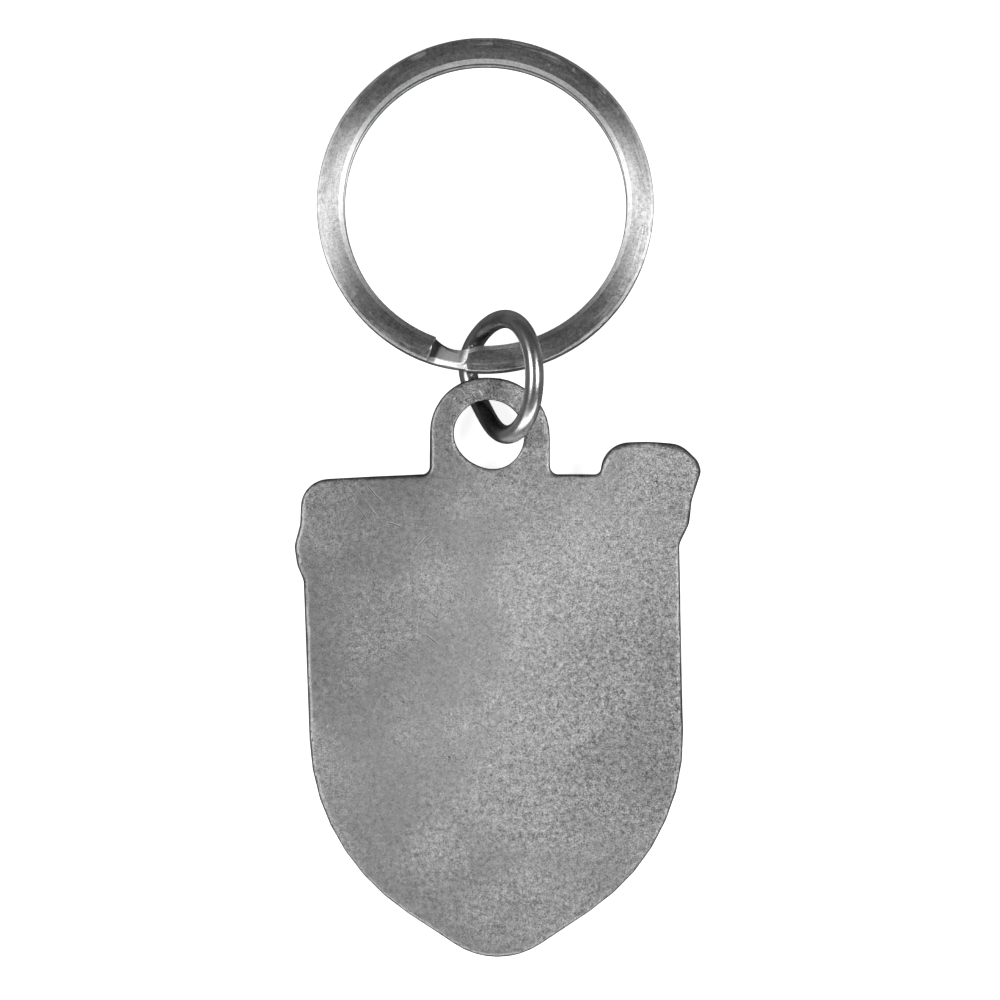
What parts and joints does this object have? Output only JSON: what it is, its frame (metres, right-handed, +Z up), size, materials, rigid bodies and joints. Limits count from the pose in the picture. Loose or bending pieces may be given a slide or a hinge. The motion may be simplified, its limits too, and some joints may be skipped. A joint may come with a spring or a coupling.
{
  "type": "souvenir keychain",
  "caption": "Souvenir keychain: a cast metal shield fob with a pierced lug, held by a round-wire jump ring to a flat wound split ring. It lies on its front, back up.",
  "frame": {"origin": "on the surface the keychain lies on, below the middle of its whole footprint", "axes": "+Z up, out of the fob's plain back; +Y from the fob's point along the keychain to the split ring; +X to the right of someone who looks at the back with the ring at the top"},
  "size_m": [0.0336, 0.0762, 0.0091],
  "materials": {
    "cast_pewter": "matte grey tin alloy as cast, fine sandy grain",
    "plated_wire": "dark glossy nickel-plated steel wire",
    "plated_steel": "worn nickel-plated spring steel"
  },
  "bodies": {
    "fob": {"fob": "cast_pewter"},
    "jump_ring": {"jump_ring": "plated_wire"},
    "split_ring": {"split_ring": "plated_steel"}
  },
  "joints": [
    {"name": "jump_ring_swing", "type": "hinge", "parent": "fob", "child": "jump_ring", "pos_m": [0.0008, 0.009, 0.0034], "axis": [0.9467, -0.1669, -0.2756], "range_deg": [-10, 90]},
    {"name": "split_ring_swing", "type": "hinge", "parent": "jump_ring", "child": "split_ring", "pos_m": [0, 0.0114, 0.0038], "axis": [1, 0, 0], "range_deg": [-100, 85]}
  ]
}
